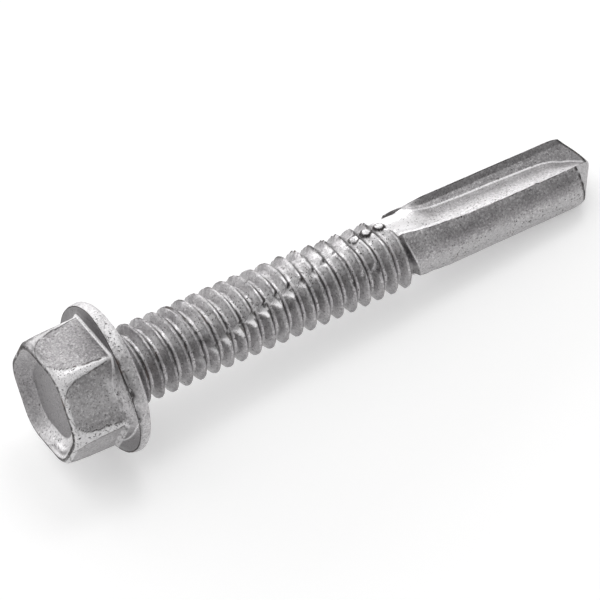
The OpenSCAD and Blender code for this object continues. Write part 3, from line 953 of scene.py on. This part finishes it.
def blend_colour(tree, share, first, second):
    """A mix of two colours."""
    node = add_node(tree, "ShaderNodeMix", {"data_type": "RGBA"}, Factor=share)
    for socket, value in ((node.inputs[6], first), (node.inputs[7], second)):
        if isinstance(value, bpy.types.NodeSocket):
            tree.links.new(value, socket)
        else:
            socket.default_value = value
    return node.outputs[2]


# %% Patterns that the zinc reads
GRAINS = {"clouds": (700, 3, 0.55), "grains": (6500, 4, 0.7), "spots": (3800, 2, 0.6),
          "pits": (8000, 2, 0.6)}


def zinc_patterns(tree):
    """The surface's four marks and four noises, by name: each noise with its scale, how many
    finer layers it has, and how strong these are."""
    coords = add_node(tree, "ShaderNodeTexCoord").outputs["Object"]
    marks = {name: add_node(tree, "ShaderNodeAttribute", {"attribute_name": name}).outputs["Fac"]
             for name in ("seam", "wear_and_highlight", "band_and_light", "painted_shade")}
    return {**marks, **{name: grain(tree, coords, *kind) for name, kind in GRAINS.items()}}


print("noises", list(GRAINS))

# %% Colour of the coat and where dirt lies
ZINC_DARK = (0.36, 0.348, 0.356, 1)
ZINC_MID = (0.48, 0.467, 0.475, 1)
ZINC_PALE = (0.94, 0.925, 0.935, 1)
ZINC_DULL = (0.15, 0.143, 0.148, 1)
# The two dark colours below serve dirt and also painted shadow.
DIRT_AND_SHADOW = (0.035, 0.030, 0.030, 1)
DIRT_AND_SHADOW_BROWN = (0.075, 0.047, 0.038, 1)


def coat_colour(tree, at):
    """Colour of the clean coat, and how far it is pale. Grey clouds carry light and dark grains;
    painted shade darkens them, and worn places and painted highlights, and spots of the band and of
    painted light, turn pale."""
    shade = blend_colour(tree, between(tree, at["clouds"], 0.3, 0.7), ZINC_DARK, ZINC_MID)
    shade = blend_colour(tree, between(tree, at["grains"], 0.48, 0.72, 0, 0.65), shade, ZINC_PALE)
    shade = blend_colour(tree, between(tree, at["grains"], 0.28, 0.5, 0.7, 0), shade, ZINC_DULL)
    shade = blend_colour(tree, times(tree, at["painted_shade"], 0.85), shade, ZINC_DULL)
    mottle = times(tree, at["band_and_light"], between(tree, at["spots"], 0.35, 0.6, 0.6, 1.0))
    pale = calc(tree, "MAXIMUM", mottle, at["wear_and_highlight"])
    return blend_colour(tree, pale, shade, ZINC_PALE), pale


def dirt_and_shadow_share(tree, at):
    """How far each place is dark with dirt and painted shadow: a few pits everywhere, more of them
    in clouds over the band and over painted light, and the seam mark's dirt and painted shade,
    which spots break up."""
    sparse = between(tree, at["pits"], 0.62, 0.68)
    in_seam = times(tree, at["seam"], between(tree, at["spots"], 0.26, 0.42))
    patchy = times(tree, at["band_and_light"], between(tree, at["clouds"], 0.35, 0.6, 0.15, 0.65))
    pitted = times(tree, patchy, between(tree, at["pits"], 0.56, 0.66))
    return calc(tree, "ADD", times(tree, sparse, 0.6), calc(tree, "ADD", in_seam, pitted), True)


print("zinc from", ZINC_DULL[:3], "to", ZINC_PALE[:3])

# %% Roughness and relief of the coat
RELIEF_HEIGHT = 0.00003


def coat_roughness(tree, at, dirt_and_shadow):
    """Roughness: clouds and grains vary it, rubbed places and painted highlights are smoother, and
    dirt and painted shadow are rougher.
    """
    rough = calc(tree, "ADD", between(tree, at["clouds"], 0.3, 0.7, 0.32, 0.44),
                 between(tree, at["grains"], 0.3, 0.7, -0.05, 0.07))
    rough = calc(tree, "SUBTRACT", rough, times(tree, at["wear_and_highlight"], 0.12))
    return calc(tree, "ADD", rough, times(tree, dirt_and_shadow, 0.3), True)


def coat_normal(tree, at, dirt_and_shadow):
    """Relief of the grain, with dirt and painted shadow lying lower, as a bump that rubbed places
    and painted highlights nearly lose.
    """
    relief = calc(tree, "SUBTRACT", calc(tree, "ADD", times(tree, at["clouds"], 0.5), at["grains"]),
                  times(tree, dirt_and_shadow, 1.2))
    return add_node(tree, "ShaderNodeBump", Strength=between(tree, at["wear_and_highlight"], 0, 1, 0.9, 0.2),
                    Distance=RELIEF_HEIGHT, Height=relief).outputs["Normal"]


print("relief up to", round(RELIEF_HEIGHT / MM, 3), "mm")

# %% The zinc
def make_zinc():
    """The coat as one material. It is metal except where it is dirty or painted with shadow, and
    where it is pale: powdery, or painted with light and highlights.
    """
    material = bpy.data.materials.new("zinc_plated_steel")
    material.use_nodes = True
    tree = material.node_tree
    shader = tree.nodes["Principled BSDF"]
    at = zinc_patterns(tree)
    shade, pale = coat_colour(tree, at)
    dirt_and_shadow = dirt_and_shadow_share(tree, at)
    # Dirt and painted shadow take the same dark, partly brown colour.
    dirt_and_shadow_colour = blend_colour(tree, between(tree, at["clouds"], 0.56, 0.68), DIRT_AND_SHADOW, DIRT_AND_SHADOW_BROWN)
    bare = calc(tree, "SUBTRACT", 1.0, times(tree, dirt_and_shadow, 0.6))
    bare = calc(tree, "SUBTRACT", bare, times(tree, pale, 0.8), True)
    tree.links.new(blend_colour(tree, dirt_and_shadow, shade, dirt_and_shadow_colour), shader.inputs["Base Color"])
    tree.links.new(bare, shader.inputs["Metallic"])
    tree.links.new(coat_roughness(tree, at, dirt_and_shadow), shader.inputs["Roughness"])
    tree.links.new(coat_normal(tree, at, dirt_and_shadow), shader.inputs["Normal"])
    return material


zinc = make_zinc()
for piece in (head, shank):
    piece.data.materials.append(zinc)
    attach(piece, "root")
    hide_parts("screw")
print("zinc nodes", len(zinc.node_tree.nodes))

# %% [markdown]
# ## The floor
# The photograph is a cut-out on white. A pale sheet under the screw gives the same background
# and shows how the screw rests, with its soft shadow. The sheet's own grey lights the screw as
# paper would; only rays from the camera and mirror rays see it lifted to white.

# %% Floor
FLOOR_HALF_WIDTH, FLOOR_GAP = 1.5, 0.00001
FLOOR_GREY, FLOOR_SEEN, FLOOR_GLOW = 0.7, 0.75, 0.35


def make_floor():
    """A level square just under the screw, with a paper finish."""
    corners = [(-1, -1), (1, -1), (1, 1), (-1, 1)]
    mesh = bpy.data.meshes.new("floor")
    mesh.from_pydata([(x * FLOOR_HALF_WIDTH, y * FLOOR_HALF_WIDTH, -FLOOR_GAP)
                      for x, y in corners], [], [(0, 1, 2, 3)])
    floor = bpy.data.objects.new("floor", mesh)
    bpy.context.scene.collection.objects.link(floor)
    material = bpy.data.materials.new("pale_paper")
    material.use_nodes = True
    tree = material.node_tree
    tree.nodes.clear()
    path = add_node(tree, "ShaderNodeLightPath").outputs
    seen = calc(tree, "ADD", path["Is Glossy Ray"], path["Is Transmission Ray"])
    seen = calc(tree, "ADD", path["Is Camera Ray"], seen, True)
    grey = (FLOOR_GREY,) * 3 + (1,)
    white = (FLOOR_SEEN,) * 3 + (1,)
    paper = add_node(tree, "ShaderNodeBsdfDiffuse", Color=blend_colour(tree, seen, grey, white))
    glow = add_node(tree, "ShaderNodeEmission", Color=(1, 1, 1, 1),
                    Strength=times(tree, seen, FLOOR_GLOW))
    both = add_node(tree, "ShaderNodeAddShader", i0=paper.outputs["BSDF"],
                    i1=glow.outputs["Emission"])
    output = add_node(tree, "ShaderNodeOutputMaterial")
    tree.links.new(both.outputs["Shader"], output.inputs["Surface"])
    mesh.materials.append(material)
    return floor


make_floor()
print("floor", 2 * FLOOR_HALF_WIDTH, "m wide")

# %% [markdown]
# ## Light
# Bare metal shows its surroundings, so the light is a room rather than a lamp. It is dim in
# front, brighter overhead and behind, and a long soft box stands low at the back. That one
# draws the bright bands along the flange's edge and the flutes, as in the photograph. A weak
# box overhead lifts the tops, and a small bright one draws the dashes in the thread's roots.

# %% Room and soft boxes
ROOM_LEVEL, ROOM_LEAN, ROOM_FLATTEN = 0.62, 0.43, 0.28
LAMPS = [("back_light", (-0.05, 0.8, 0.18), (1.3, 0.32), 2.7),
         ("top_light", (-0.3, 0.15, 0.9), (0.7, 0.7), 0.9),
         ("crest_light", (0.34, 0.2, 0.82), (0.3, 0.3), 3.6)]


def make_room(level, lean, flatten):
    """World whose brightness depends on the direction: dim in front, bright at the back.
    Formula: a level plus the direction's Y, which counts less the higher the direction."""
    world = bpy.data.worlds.new("studio")
    bpy.context.scene.world = world
    world.use_nodes = True
    tree = world.node_tree
    direction = add_node(tree, "ShaderNodeTexCoord").outputs["Generated"]
    parts = add_node(tree, "ShaderNodeSeparateXYZ", Vector=direction).outputs
    high = calc(tree, "MAXIMUM", parts["Z"], 0.0)
    counts = calc(tree, "SUBTRACT", lean, times(tree, high, flatten))
    strength = calc(tree, "ADD", level, times(tree, parts["Y"], counts))
    tree.nodes["Background"].inputs["Color"].default_value = (1, 1, 1, 1)
    tree.links.new(strength, tree.nodes["Background"].inputs["Strength"])


def soft_box(name, place, size, level):
    """Area lamp of a size in metres at a place, turned to the screw in the middle. Its power is
    the brightness `level` of its own face times the face's area times pi."""
    lamp = bpy.data.lights.new(name, "AREA")
    lamp.shape = "RECTANGLE"
    lamp.size, lamp.size_y = size
    lamp.energy = level * np.pi * size[0] * size[1]
    box = bpy.data.objects.new(name, lamp)
    bpy.context.scene.collection.objects.link(box)
    box.location = place
    box.rotation_euler = (-Vector(place)).to_track_quat("-Z", "Y").to_euler()


make_room(ROOM_LEVEL, ROOM_LEAN, ROOM_FLATTEN)
for lamp_name, place_of_lamp, face, level in LAMPS:
    soft_box(lamp_name, place_of_lamp, face, level)
print("lamps", [lamp[0] for lamp in LAMPS])

# %% [markdown]
# ## Camera
# The photograph was taken with a long lens from the head's side. In the screw's own axes the
# camera's right, up and back directions follow from two angles measured on the photograph.

# %% Camera
VIEW_ROLL, VIEW_TILT = np.radians(23.97), np.radians(68.5)
CENTRE_RIGHT, CENTRE_UP = -12.2958, -4.8320
DISTANCE, PIXELS_PER_MM, FRAME_WIDTH, SENSOR = 320.0, 15.35, 600, 36.0
NEAREST, FARTHEST = 0.01, 20
front_seen = np.array([np.cos(VIEW_TILT) * np.cos(VIEW_ROLL),
                       np.cos(VIEW_TILT) * np.sin(VIEW_ROLL), np.sin(VIEW_TILT)])
side_seen = np.array([np.sin(VIEW_ROLL), -np.cos(VIEW_ROLL), 0])
axis_seen = np.array([np.sin(VIEW_TILT) * np.cos(VIEW_ROLL),
                      np.sin(VIEW_TILT) * np.sin(VIEW_ROLL), -np.cos(VIEW_TILT)])
camera_axes = (np.stack([FRONT, SIDE, axis], 1) @ np.stack([front_seen, side_seen, axis_seen])).T
right, up, back = camera_axes
spot = (bearing_centre - CENTRE_RIGHT * right - CENTRE_UP * up + DISTANCE * back) * MM
camera_data = bpy.data.cameras.new("camera")
camera_data.sensor_width = SENSOR
camera_data.lens = PIXELS_PER_MM * DISTANCE / FRAME_WIDTH * SENSOR
camera_data.clip_start, camera_data.clip_end = NEAREST, FARTHEST
camera = bpy.data.objects.new("camera", camera_data)
bpy.context.scene.collection.objects.link(camera)
camera.matrix_world = Matrix([[*camera_axes[:, row], spot[row]] for row in range(3)]
                                + [[0, 0, 0, 1]])
bpy.context.scene.camera = camera
bpy.context.scene.view_settings.view_transform = "Standard"
print("camera at", spot.round(3), "lens", round(camera_data.lens, 1))
